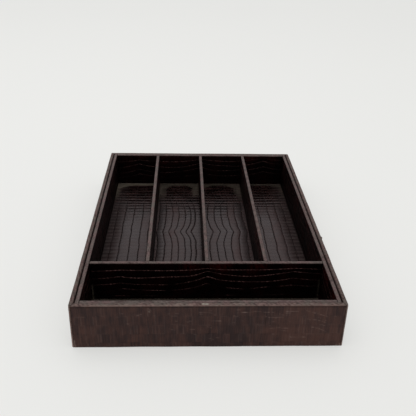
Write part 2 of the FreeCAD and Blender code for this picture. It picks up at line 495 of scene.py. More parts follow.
def roundedDistance(x, y, left, right, top, radius):
    # distance outside a rectangle that is open towards the front and has two rounded corners
    middle, half = (left + right) / 2, (right - left) / 2
    overX = np.abs(x - middle) - (half - radius)
    overY = y - (top - radius)
    outside = np.hypot(np.maximum(overX, 0), np.maximum(overY, 0))
    return outside + np.minimum(np.maximum(overX, overY), 0) - radius


def floorGrid(low, high):
    # p counts the columns of scales and q the rows; three more grid lines stand beside every groove
    skin = floorSkin
    lines = np.array([-v for v in skin["leftLines"][::-1]] + skin["rightLines"])
    column = np.arange(len(lines), dtype=float)
    width = np.diff(lines)[:, None]
    beside = np.array(skin["besideGroove"])[None, :]
    fractions = np.concatenate([0 * width, beside / width, 1 - beside[:, ::-1] / width], 1)
    p = (column[:-1, None] + fractions).ravel()
    first = np.interp(low[0] / mm, lines, column)
    last = np.interp(high[0] / mm, lines, column)
    p = np.concatenate([[first], p[(p > first + 0.01) & (p < last - 0.01)], [last]])
    q = stations(0, (high[1] - low[1]) / skin["rowPitch"], skin["alongFractions"])
    p, q = np.meshgrid(p, q, indexing="ij")
    x0 = np.interp(p, column, lines) * mm
    y0 = low[1] + q * skin["rowPitch"]
    columnWidth = np.interp(np.floor(np.clip(p, 0, len(width) - 1)), column[:-1], width[:, 0]) * mm
    return p, q, x0, y0, columnWidth


def floorRelief(p, q, x0, y0, columnWidth, fromFront, far, flank):
    # depth of the scales: grooves along the columns, a step down at every row and a low dome between
    skin = floorSkin
    fromGroove = np.abs(p - np.round(p)) * columnWidth
    fromRow = np.abs(q - np.round(q)) * skin["rowPitch"]
    cut = np.exp(-(fromGroove / skin["grooveWidth"]) ** 1.5) * (1 - 0.7 * far)
    shoulder = np.exp(-fromGroove / skin["shoulderWidth"])
    rowCut = np.exp(-(fromRow / skin["rowWidth"]) ** 1.6)
    relief = -skin["grooveDepth"] * cut - skin["shoulderDepth"] * shoulder
    # along its column a scale rises over its first sixth, stays level, and drops over its last tenth
    part = q - np.floor(q)
    step = 1 - smoothStep(0, 0.17, part) + smoothStep(0.9, 1, part)
    stepHeight = skin["rowStep"] + (skin["flankStep"] - skin["rowStep"]) * flank
    stepHeight = np.maximum(stepHeight, skin["farStep"] * far)
    uneven = 0.65 + 0.5 * softNoise(x0, np.round(q) * 40 * mm, 24 * mm, 18)
    uneven = uneven + (0.85 - uneven) * 0.65 * far
    relief = relief - stepHeight * step * np.clip(uneven, 0.15, 1.2)
    # and it is a little domed, more so towards the back: 1 - (2t - 1)^2 over its length
    domed = smoothStep(skin["domedFrom"], skin["domedTo"], fromFront)
    domed = skin["crown"] + (skin["farCrown"] - skin["crown"]) * domed
    relief = relief - domed * (2 * part - 1) ** 2 * np.clip(uneven + 0.3, 0.3, 1.3)
    return relief + 0.05 * mm * softNoise(x0, y0, 26 * mm, 14), cut, rowCut


def floorDust(x, y, xMm, yMm):
    # dust lies round the wiped patches, and thins out towards the front of each compartment
    skin = floorSkin
    dust = np.zeros_like(x)
    edges = [-200, -66, 0, 66, 200]
    for (left, right, top, radius, strength), bayLeft, bayRight in zip(skin["wiped"], edges, edges[1:]):
        outside = roundedDistance(xMm, yMm, left, right, top, radius)
        amount = strength * smoothStep(-0.8, 2.5, outside) * smoothStep(318, 368, yMm)
        dust = np.where((xMm > bayLeft) & (xMm <= bayRight) & (yMm > 90), amount, dust)
    left, right, top, radius, strength = skin["wipedFront"]
    outside = roundedDistance(xMm, yMm, left, right, top, radius)
    dust = np.where(yMm < 90, smoothStep(-0.5, 3.0, outside) * smoothStep(30, 70, yMm) * strength, dust)
    return dust * (0.88 + 0.12 * softNoise(x, y, 9 * mm, 15))


def makeFloor():
    skin = floorSkin
    low, high = (np.array(c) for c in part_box("floor_leather"))
    front = cadBox[0][1]
    p, q, x0, y0, columnWidth = floorGrid(low, high)
    # the columns bend at each kink and wander a little, but not at the edges of the sheet
    fade = smoothStep(0, 6 * mm, x0 - low[0]) * smoothStep(0, 6 * mm, high[0] - x0)
    endFade = smoothStep(0, 6 * mm, y0 - low[1]) * smoothStep(0, 6 * mm, high[1] - y0)
    bulge = skin["kinkShift"] * np.exp(-(x0 / (58 * mm)) ** 2) * np.tanh(x0 / (6 * mm))
    x = x0 + bulge * cusp(y0, front + skin["kink"], skin["period"], skin["kinkReach"])
    x = x + (0.50 * mm * softNoise(x0, y0, 34 * mm, 11) + 0.16 * mm * softNoise(x0, y0, 7 * mm, 10)) * fade
    y = y0 + 0.6 * mm * softNoise(x0, y0, 40 * mm, 12) * endFade
    y = y + 0.3 * mm * softNoise(x0, y0, 11 * mm, 13) * endFade
    centre = np.abs(x0) / mm
    far = smoothStep(skin["farFrom"], skin["farTo"], y0 - front)
    # small, well parted scales on both flanks and along two strips beside the dividers: duller than the rest,
    # and painted darker, a painted dark reflection of the dividers and liners in the glossy floor
    flank = smoothStep(108, 120, centre) + 0.9 * np.exp(-((centre - 58) / 6.0) ** 2)
    flank = np.clip(flank, 0, 1)
    dullAndDarkReflection = 0.57 * smoothStep(106, 121, centre) + 0.27 * np.exp(-((centre - 59) / 6.0) ** 2)
    dullAndDarkReflection = dullAndDarkReflection * (1 - 0.75 * far)
    relief, cut, rowCut = floorRelief(p, q, x0, y0, columnWidth, y0 - front, far, flank)
    # hardly above the CAD floor anywhere, so that the dividers stand on it
    z = high[2] + (relief - 0.04 * mm) * endFade
    xMm, yMm = x / mm, (y - front) / mm
    # far from the camera the front shoulders of the rows are painted paler between dark grooves: a painted
    # highlight for the sheen they catch
    ahead = (q - np.floor(q)) * skin["rowPitch"]
    rowSheen = np.exp(-((ahead - 3.0 * mm) / (1.9 * mm)) ** 2) * far
    rowSheen = rowSheen * np.clip(0.46 + 0.45 * softNoise(x, y * 2, 30 * mm, 17), 0.0, 1)
    # the small scales on the flanks get the same painted highlight
    sides = np.exp(-((ahead - 2.6 * mm) / (1.4 * mm)) ** 2) * smoothStep(110, 118, np.abs(xMm)) * 0.8
    sides = sides * np.clip(0.5 + 0.7 * softNoise(x, y * 2, 12 * mm, 19), 0, 1)
    # every column has its own tone
    chance = scaleChance(np.floor(p), 1.0 + 0 * q, 5) - 0.5
    tone = np.clip(0.40 + 0.7 * chance + 0.2 * softNoise(x, y * 0.6, 24 * mm, 16), 0, 1)
    attributes = {
        # groove: painted shade in the grooves and between the rows, and the painted dark reflection beside
        # the dividers and liners
        "groove": np.clip(cut + rowCut * (0.10 + 0.35 * flank + 0.12 * far) + dullAndDarkReflection * (1 - sides), 0, 1),
        # the next two carry the painted highlights on the rows' shoulders
        "wornAndLit": np.clip(sides * (1 - cut), 0, 1),
        "edge": np.clip(rowSheen * (1 - cut), 0, 1),
        "dust": np.clip(floorDust(x, y, xMm, yMm), 0, 1),
        # the tone fades to dark towards the back: painted shade where the floor mirrors the dark back liner
        "tint": tone * (1 - 0.85 * far),
    }
    piece = gridMesh("floor_skin", np.stack([x, y, z], -1), attributes=attributes)
    giveThickness(piece, skin["thickness"])
    finishPiece(piece, "floor_leather", floorLeather)


makeFloor()
print("floor made")


# Liners and dividers: leather folded over a standing board, with columns of scales along it

panelSkin = {
    "foldRadius": 1.1 * mm,
    "columnPitch": 8.6 * mm,
    "rowPitch": 9.0 * mm,
    "grooveDepth": 0.38 * mm,
    "rowDepth": 0.13 * mm,
    "period": 98 * mm,
    "kinkReach": 18 * mm,
    "slope": 0.03,
    "firstColumn": 0.45,
    "thickness": 0.7 * mm,
    "wornFold": {"x": (0.15, 0.65), "y": (0.45, 0.9)},
    "acrossFractions": [0, 0.05, 0.12, 0.24, 0.5, 0.76, 0.88, 0.95],
    "alongFractions": [0, 0.12, 0.3, 0.5, 0.7, 0.88],
}

# Sizes in millimetres. run is the axis that the panel lies along, face the side of its first leg, leg the
# length of its second one, backFold the radius of its far upper edge, seam how much painted shade that edge
# gets, glint how bright its painted threads of light are and wear how pale its rim is. The columns bend up by
# rise at kinkAt, and by sideRise of that one period away; they are straight again over ease below the rim.
endLiner = {"run": "x", "leg": 14, "backFold": 0.25, "seam": 0, "rise": 7, "sideRise": 1, "ease": 14}
sideLiner = endLiner | {"run": "y", "backFold": 1.4, "seam": 0.68, "glint": 0.3, "wear": 1.0}
divider = endLiner | {"run": "y", "leg": None, "backFold": 1.1, "glint": 0.35}
crossDivider = divider | {"run": "x", "rise": 9, "sideRise": 0.45, "ease": 20}
panelPieces = {
    "front_liner_leather": endLiner | {"face": 1, "kinkAt": 4, "seed": 31, "glint": 0.55, "wear": 0.9},
    "back_liner_leather": endLiner | {"face": -1, "kinkAt": 2, "seed": 32, "glint": 0.42, "wear": 0.95},
    "left_liner_leather": sideLiner | {"face": 1, "kinkAt": -60, "seed": 33},
    "right_liner_leather": sideLiner | {"face": -1, "kinkAt": -20, "seed": 34},
    "cross_divider_leather": crossDivider | {"face": -1, "kinkAt": 1, "seed": 35, "glint": 0.86, "wear": 1.0},
    "long_divider_leather_1": divider | {"face": 1, "kinkAt": 30, "seed": 36, "wear": 1.0},
    "long_divider_leather_2": divider | {"face": -1, "kinkAt": 10, "seed": 37, "wear": 0.95},
    "long_divider_leather_3": divider | {"face": -1, "kinkAt": -35, "seed": 38, "wear": 0.93},
}


def panelGrid(height, thickness, total, length):
    # p counts the columns of scales from the foot up and over the fold, and q counts the rows
    skin = panelSkin
    start = skin["firstColumn"]
    p = stations(start, start + total / skin["columnPitch"], skin["acrossFractions"])
    # more grid lines where the leather turns over the board's edge
    turns = height - skin["foldRadius"] + np.linspace(0, 1, 11) * (thickness + 1.2 * mm)
    turns = turns[turns < total] / skin["columnPitch"]
    p = np.unique(np.round(np.concatenate([p, start + turns]), 5))
    q = stations(0, length / skin["rowPitch"], skin["alongFractions"])
    return np.meshgrid(p, q, indexing="ij")


def bendColumns(choice, s0, a0, up, firstLeg, height, middle):
    # the bends lift the scales on both legs, and fade out before the foot and before the fold
    skin = panelSkin
    kinkAt = choice["kinkAt"] * mm
    near = np.exp(-((a0 - kinkAt) / (45 * mm)) ** 2)
    rise = choice["rise"] * mm * (choice["sideRise"] + (1 - choice["sideRise"]) * near)
    lift = rise * (cusp(a0, kinkAt, skin["period"], skin["kinkReach"]) - 0.12)
    lift = lift + skin["slope"] * (a0 - middle) * (1 if choice["run"] == "x" else 0.3)
    lift = lift + 0.9 * mm * softNoise(s0 * 2.2, a0, 42 * mm, choice["seed"])
    fade = smoothStep(0, 14 * mm, up) * smoothStep(0, choice["ease"] * mm, height - 1.5 * mm - up)
    if choice["leg"]:
        fade = fade * firstLeg
    return s0 + lift * fade * np.where(firstLeg, 1, -1)


def lightThreads(p, q, s0, a0, up, nearTop, fromEnds, seed):
    # a pale thread of light on the upper shoulder of every scale, broken where the rows cross it
    below = (np.ceil(p) - p) * panelSkin["columnPitch"]
    beads = 0.52 + 0.48 * np.cos(4 * np.pi * q + 2 * softNoise(a0, s0, 20 * mm, seed + 65))
    beads = beads * (0.05 + 1.2 * scaleChance(np.floor(2 * q), np.ceil(p), 3)) + 0.12
    # low down the threads come and go in stretches, and they fade towards the panel's ends
    stretch = softNoise(a0, np.ceil(p) * 31 * mm, 26 * mm, seed + 64) + (up - 12 * mm) / (13 * mm)
    edge = np.exp(-((below - 0.45 * mm) / (0.32 * mm)) ** 2) * beads * smoothStep(-0.5, 0.5, stretch)
    endGlow = smoothStep(0, 30 * mm, fromEnds[0]) * smoothStep(0, 30 * mm, fromEnds[1])
    return edge * (1 - nearTop) * (0.5 + 0.5 * smoothStep(0, 40 * mm, up)) * (0.3 + 0.7 * endGlow)


def makePanel(node, choice):
    skin = panelSkin
    seed = choice["seed"]
    low, high = (np.array(c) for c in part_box(node))
    runAxis = 0 if choice["run"] == "x" else 1
    thickAxis = 1 - runAxis
    first, last = low[runAxis], high[runAxis]
    thickness = high[thickAxis] - low[thickAxis]
    height = high[2] - low[2]
    leg = choice["leg"] * mm if choice["leg"] else height
    corners = [(0, 0), (0, height), (thickness, height), (thickness, height - leg)]
    path = foldPath(corners, (skin["foldRadius"], choice["backFold"] * mm))
    total = path[1][-1]
    p, q = panelGrid(height, thickness, total, last - first)
    s0 = (p - skin["firstColumn"]) * skin["columnPitch"]
    a0 = first + q * skin["rowPitch"]
    fromEnds = a0 - first, last - a0
    firstLeg = s0 < height
    up = np.where(firstLeg, s0, np.maximum(total - s0 + height - leg, 0))
    s = bendColumns(choice, s0, a0, up, firstLeg, height, (first + last) / 2)
    inset = smoothStep(0, 6 * mm, fromEnds[0]) * smoothStep(0, 6 * mm, fromEnds[1])
    a = a0 + 0.8 * mm * softNoise(s0, a0, 30 * mm, seed + 20) * inset
    place, normal = followPath(path, s)
    across, along = pillow(p, 6), pillow(q, 4)
    relief = -skin["grooveDepth"] * (1 - across) - skin["rowDepth"] * (1 - along)
    relief = relief + 0.05 * mm * softNoise(s0, a0, 20 * mm, seed + 40)
    # on the panels that lie across the tray the upper folds are worn further down
    wornFrom, wornTo = skin["wornFold"][choice["run"]]
    onTop = smoothStep(wornFrom, wornTo, normal[..., 1])
    nearTop = smoothStep(height - 2.2 * mm, height - 0.8 * mm, place[..., 1])
    relief = relief * (1 - 0.65 * nearTop)
    place = place + normal * relief[..., None]
    # face 1 turns the section round, so that its first leg looks the other way
    depth = thickness - place[..., 0] if choice["face"] > 0 else place[..., 0]
    places = np.zeros(p.shape + (3,))
    places[..., thickAxis] = low[thickAxis] + depth
    places[..., runAxis] = a
    places[..., 2] = low[2] + place[..., 1]
    # the seam beside the wall gets painted shade, for the shadow in the gap there, and the flat of the rim is
    # worn pale
    seam = smoothStep(thickness - 1.5 * mm, thickness - 0.5 * mm, place[..., 0]) * nearTop * choice["seam"]
    seam = seam * np.clip(0.9 + 0.35 * softNoise(a0, s0, 7 * mm, seed + 67), 0.3, 1.2)
    # at the front and back the joint with the wall is painted pale like the worn rim: painted light over the
    # joint's shade, so that it hardly shows
    if choice["leg"] and not choice["seam"]:
        meets = smoothStep(thickness - 1.0 * mm, thickness - 0.3 * mm, place[..., 0]) * nearTop
        onTop = np.maximum(onTop, 0.9 * meets)
    wear = onTop * (0.84 + 0.16 * softNoise(s0, a0, 16 * mm, seed + 60))
    wear = wear + onTop * 0.28 * softNoise(s0, a0, 3.6 * mm, seed + 61)
    edge = lightThreads(p, q, s0, a0, up, nearTop, fromEnds, seed)
    patches = softNoise(s0, a0, 45 * mm, seed + 63)
    # below the rim the dye has turned red, in fine upright strokes
    red = (0.16 + 0.22 * patches) * (1 + 1.1 * softNoise(a0, s0 * 0.3, 3.2 * mm, seed + 66))
    dust = np.zeros(p.shape)
    if node == "cross_divider_leather":
        red = 1.5 * red * smoothStep(-48 * mm, -15 * mm, a0) * smoothStep(108 * mm, 80 * mm, a0)
        # a little dust stays in the upright corners of the front compartment
        corner = np.exp(-((np.abs(a0) - high[0] + 1.0 * mm) / (1.1 * mm)) ** 2)
        dust = corner * firstLeg * smoothStep(26 * mm, 16 * mm, up) * np.where(a0 < 0, 1.0, 0.4)
    attributes = {
        # groove: painted shade in the grooves between the scales and at the seam
        "groove": np.clip((1 - across) ** 1.5 * (1 - 0.5 * nearTop) + seam, 0, 1),
        "wornAndLit": np.clip(wear * choice["wear"] * (1 - 0.8 * seam), 0, 1),
        "edge": np.clip(edge * choice["glint"], 0, 1),
        "dust": dust,
        "tint": np.clip(0.07 + 0.07 * patches + red * smoothStep(30 * mm, 42 * mm, up), 0, 1),
    }
    flip = (choice["face"] > 0) == (runAxis == 1)
    piece = gridMesh(node.replace("leather", "skin"), places, flip=flip, attributes=attributes)
    giveThickness(piece, skin["thickness"])
    finishPiece(piece, node, linerLeather)


for panelNode, panelChoice in panelPieces.items():
    makePanel(panelNode, panelChoice)
print("liners and dividers made")


# The case: each wall's leather goes from behind the rim over it, down the wall and under the base

caseSkin = {
    "wall": 4.8 * mm,
    "cornerRadius": 2.0 * mm,
    "cornerReturn": 2.4 * mm,
    "seamGap": 0.16 * mm,
    "turnIn": 14 * mm,
    "underTurnIn": 14.8 * mm,
    "outerFold": 1.1 * mm,
    "footFold": 0.6 * mm,
    "innerFold": {"front": 0.25 * mm, "back": 0.25 * mm, "left": 1.4 * mm, "right": 1.4 * mm},
    "thickness": 0.7 * mm,
    "upStep": 1.05 * mm,
    "alongStep": {"front": 0.72 * mm, "back": 0.72 * mm, "left": 1.0 * mm, "right": 1.0 * mm},
    "bruiseAt": -64 * mm,
    "bruiseRadius": 1.9 * mm,
    "bruiseHeight": 1.2 * mm,
    "creaseDepth": 0.10 * mm,
    "seamDepth": 0.12 * mm,
    "scratches": 46,
    "tone": 0.38,
    "seed": {"front": 71, "back": 81, "left": 91, "right": 101},
    "cellPitch": 8.8 * mm,
    "bandPitch": 11.2 * mm,
    "streakPitch": 3.1 * mm,
    "streakDepth": 0.06 * mm,
    "cellDepth": 0.10 * mm,
}

# marks of use on the front, as broken lines of x and z in millimetres; the rubbed lower corners are wear
# with a painted highlight
frontMarks = {
    "pale": [
        [(-75, 42), (-71, 41.6), (-68, 42.5)],
        [(-61, 50), (-59.5, 48), (-58, 47)],
        [(-10, 44.5), (2, 44), (6, 41)],
        [(0, 34.5), (12, 34)],
        [(28, 44), (48, 45.5), (60, 44.5)],
        [(62, 24.5), (72, 25), (81, 24)],
        [(75, 45.5), (90, 46)],
        [(60, 38), (75, 38)],
        [(98, 46.5), (108, 43), (120, 39)],
        [(105, 35.5), (112, 34), (120, 31)],
        [(104, 26), (112, 24), (120, 20)],
        [(84, 12.5), (92, 12), (100, 13)],
    ],
    "rimPale": [[(-6.5, 3.2), (-5.5, 3.6)], [(-4, 3.0), (-2, 3.2)]],
    "rimFaint": [[(-33, 3.2), (-27, 3.4)], [(-22, 2.9), (-15, 3.5)], [(24, 3.0), (31, 3.2)]],
    "rimDark": [[(88.5, 4.0), (89.5, 4.0)], [(-47, 4.2), (-46.5, 4.2)]],
    "dark": [
        [(-140, 51.2), (-90, 51.4), (-40, 51.2), (0, 51.3), (50, 51.4), (100, 51.2), (140, 51.3)],
        [(57, 37), (57.6, 20), (57, 1)],
        [(83, 3.5), (83.4, 0.5)],
    ],
    "rubbedAndLit": [[(-137.2, 1.0), (-137, 3)], [(-137.4, 1.0), (-137.4, 9)], [(137.4, 1), (137.4, 3)]],
    "speck": [[(-60.2, 46), (-59.8, 46)], [(133, 1.8), (133.4, 1.8)]],
}


def caseScales(along, up, height, seed):
    # rows of nearly square scales, eleven millimetres high, crossed by upright streaks; they are clear
    # low down and fade out towards the rim
    skin = caseSkin
    wander = 0.5 * mm * softNoise(along, up * 0.1, 30 * mm, seed)
    band = (up + 0.7 * mm * softNoise(along, up, 45 * mm, seed + 2)) / skin["bandPitch"] + 0.2
    row = np.floor(band)
    cell = (along + wander) / skin["cellPitch"] + 0.5 * (row % 2)
    streak = (along + wander) / skin["streakPitch"] + 5 * scaleChance(row, 0, seed + 1)
    cellFade = np.clip(0.65 + 0.5 * softNoise(along, up, 30 * mm, seed + 3), 0.15, 1)
    cellFade = cellFade * (0.35 + 0.65 * smoothStep(34 * mm, 22 * mm, height))
    streakFade = np.clip(0.5 + 0.5 * softNoise(along, up, 14 * mm, seed + 4), 0.05, 1)
    across, level = pillow(cell, 9), pillow(band, 10)
    lines = (1 - across) + (1 - level) * 0.8
    relief = -skin["cellDepth"] * lines * cellFade
    relief = relief - skin["streakDepth"] * (1 - pillow(streak, 2)) * streakFade
    # each scale has its own tone, and some are pale along an upright edge
    tone = scaleChance(np.floor(cell), row, seed) - 0.5
    pale = (1 - across) * smoothStep(0.35, 0.95, scaleChance(np.round(cell), row, seed + 9))
    groove = np.clip(lines, 0, 1) * cellFade - pale
    # the streaks differ in tone too, and some of them have a pale edge
    stripe = (scaleChance(np.floor(streak), row, seed + 5) - 0.5) * (0.4 + 0.6 * streakFade)
    hair = (1 - pillow(streak, 3)) * smoothStep(0.55, 0.95, scaleChance(np.round(streak), row, seed + 13))
    # here and there the joint between two rows is pale as well
    joint = (1 - level) * smoothStep(0.1, 0.7, softNoise(along, row * 50 * mm, 16 * mm, seed + 15))
    hair = np.maximum(hair, joint)
    return relief, np.clip(groove, 0, 1), pale, tone * cellFade, stripe, hair


def shortScratches():
    # short, nearly level scratches on the front, most of them high on the right; x and z in millimetres
    rng = np.random.default_rng(120)
    count = caseSkin["scratches"]
    x = rng.triangular(-130, 125, 130, count)
    z = rng.triangular(6, 46, 49, count)
    run = rng.uniform(1.5, 6, count)
    rise = run * rng.uniform(-0.35, 0.15, count)
    return [[(a, b), (a + c, b + d)] for a, b, c, d in zip(x, z, run, rise)]


def wallSection(side):
    # distance in from the outer face against height, from behind the rim to under the base
    skin = caseSkin
    low, high = (np.array(c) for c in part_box(side + "_wall_leather"))
    top, foot = high[2], low[2]
    wall, under = skin["wall"], skin["underTurnIn"]
    corners = [(wall, top - skin["turnIn"]), (wall, top), (0, top), (0, foot), (under, foot)]
    return foldPath(corners, (skin["innerFold"][side], skin["outerFold"], skin["footFold"])), top


def wallLevels(total):
    # grid lines along the section, closer together over the rim and round the foot
    skin = caseSkin
    steps = np.linspace(0, total, int(total / skin["upStep"]))
    folds = skin["turnIn"] + np.linspace(-0.35, 1.1, 15) * skin["wall"] - 1.0 * mm
    footAt = total - skin["underTurnIn"]
    folds = np.concatenate([folds, footAt + np.linspace(-1.6, 1.6, 7) * mm])
    s = np.unique(np.concatenate([steps, folds]))
    return s[np.concatenate([[True], np.diff(s) > 0.12 * mm])]


def endWallGrid(half, otherHalf, inward, seam, middle):
    # straight from seam to seam, with three more grid lines beside each of them
    reach = half - inward - seam
    middle = np.unique(np.concatenate([middle, np.array([-1, 1])[:, None].dot(
        1 - np.array([[0.25, 0.5, 1.0]]) * mm / half).ravel()]))
    along = reach[:, None] * middle[None, :]
    out = np.broadcast_to((otherHalf - inward)[:, None], along.shape)
    outNormal = (np.zeros_like(along), np.ones_like(along))
    return along, out, outNormal, reach[:, None] - np.abs(along), np.zeros_like(along)


def sideWallGrid(half, otherHalf, inward, seam, middle):
    # a run along the side, an arc round each corner and a short return to the seam
    radius = np.maximum(caseSkin["cornerRadius"] - inward, 0.02 * mm)
    back = np.maximum(seam - radius, 0.01 * mm)
    straight = half - inward - radius
    turn = np.linspace(0, np.pi / 2, 7)[1:]
    run = straight[:, None] * middle[None, :]
    out = np.broadcast_to((otherHalf - inward)[:, None], run.shape)
    zeros, ones = np.zeros_like(run), np.ones_like(run)
    arcRun = straight[:, None] + radius[:, None] * np.sin(turn)[None, :]
    arcOut = (otherHalf - inward - radius)[:, None] + radius[:, None] * np.cos(turn)[None, :]
    arcN = (np.broadcast_to(np.sin(turn), arcRun.shape), np.broadcast_to(np.cos(turn), arcRun.shape))
    lastRun = (half - inward)[:, None]
    lastOut = (otherHalf - inward - radius - back)[:, None]
    along = np.concatenate([-lastRun, -arcRun[:, ::-1], run, arcRun, lastRun], 1)
    out = np.concatenate([lastOut, arcOut[:, ::-1], out, arcOut, lastOut], 1)
    one = np.ones_like(lastRun)
    outNormal = (
        np.concatenate([-one, -arcN[0][:, ::-1], zeros, arcN[0], one], 1),
        np.concatenate([0 * one, arcN[1][:, ::-1], ones, arcN[1], 0 * one], 1),
    )
    fromSeam = np.full(along.shape, 9 * mm)
    fromSeam[:, [0, -1]] = 0
    onCorner = np.clip(2 * np.abs(outNormal[0] * outNormal[1]), 0, 1)
    return along, out, outNormal, fromSeam, onCorner


def markFront(along, up, level, fromFront, face, fold, onTop):
    # scuffs, bare hide, dark marks and tone of the front; x, z and fromFront in millimetres
    x, z = along / mm, up / mm
    scuffs = strokes(x, z, frontMarks["pale"], 0.38 * mm) * (1 + 0.6 * softNoise(along, up, 6 * mm, 110))
    marks = face * 0.18 * scuffs + onTop * 0.22 * strokes(x, fromFront, frontMarks["rimFaint"], 1.0 * mm)
    marks = marks + face * 0.13 * strokes(x, z, shortScratches(), 0.34 * mm)
    marks = marks + onTop * 0.16 * smoothStep(0.2, 0.9, softNoise(along, level, 8 * mm, 121))
    bare = face * 0.5 * strokes(x, z, frontMarks["speck"], 0.55 * mm)
    bare = bare + onTop * 0.85 * strokes(x, fromFront, frontMarks["rimPale"], 1.1 * mm)
    # the fold over the rim is rubbed pink, and so are the lower corners; the pink is wear and also a painted
    # highlight where the rounded edges catch light
    outer = fold + 0.35 * onTop * smoothStep(2.4, 1.2, fromFront)
    outer = outer * (0.5 + 0.5 * smoothStep(40, -60, x) + 0.3 * smoothStep(90, 120, x))
    marks = marks + outer * np.clip(0.26 + 0.12 * softNoise(along, up, 20 * mm, 111), 0, 1)
    marks = marks + face * 0.45 * strokes(x, z, frontMarks["rubbedAndLit"], 1.1 * mm)
    dark = face * 0.5 * strokes(x, z, frontMarks["dark"], 0.45 * mm)
    dark = dark + onTop * 0.8 * strokes(x, fromFront, frontMarks["rimDark"], 0.9 * mm)
    # its middle is darker, and its right end redder, most of all low down
    tone = -0.12 * smoothStep(-15, 0, x) * smoothStep(58, 50, x)
    tone = tone + 0.30 * smoothStep(55.5, 58, x) * smoothStep(27, 23, z) + 0.24 * smoothStep(60, 90, x)
    return marks, bare, dark, tone


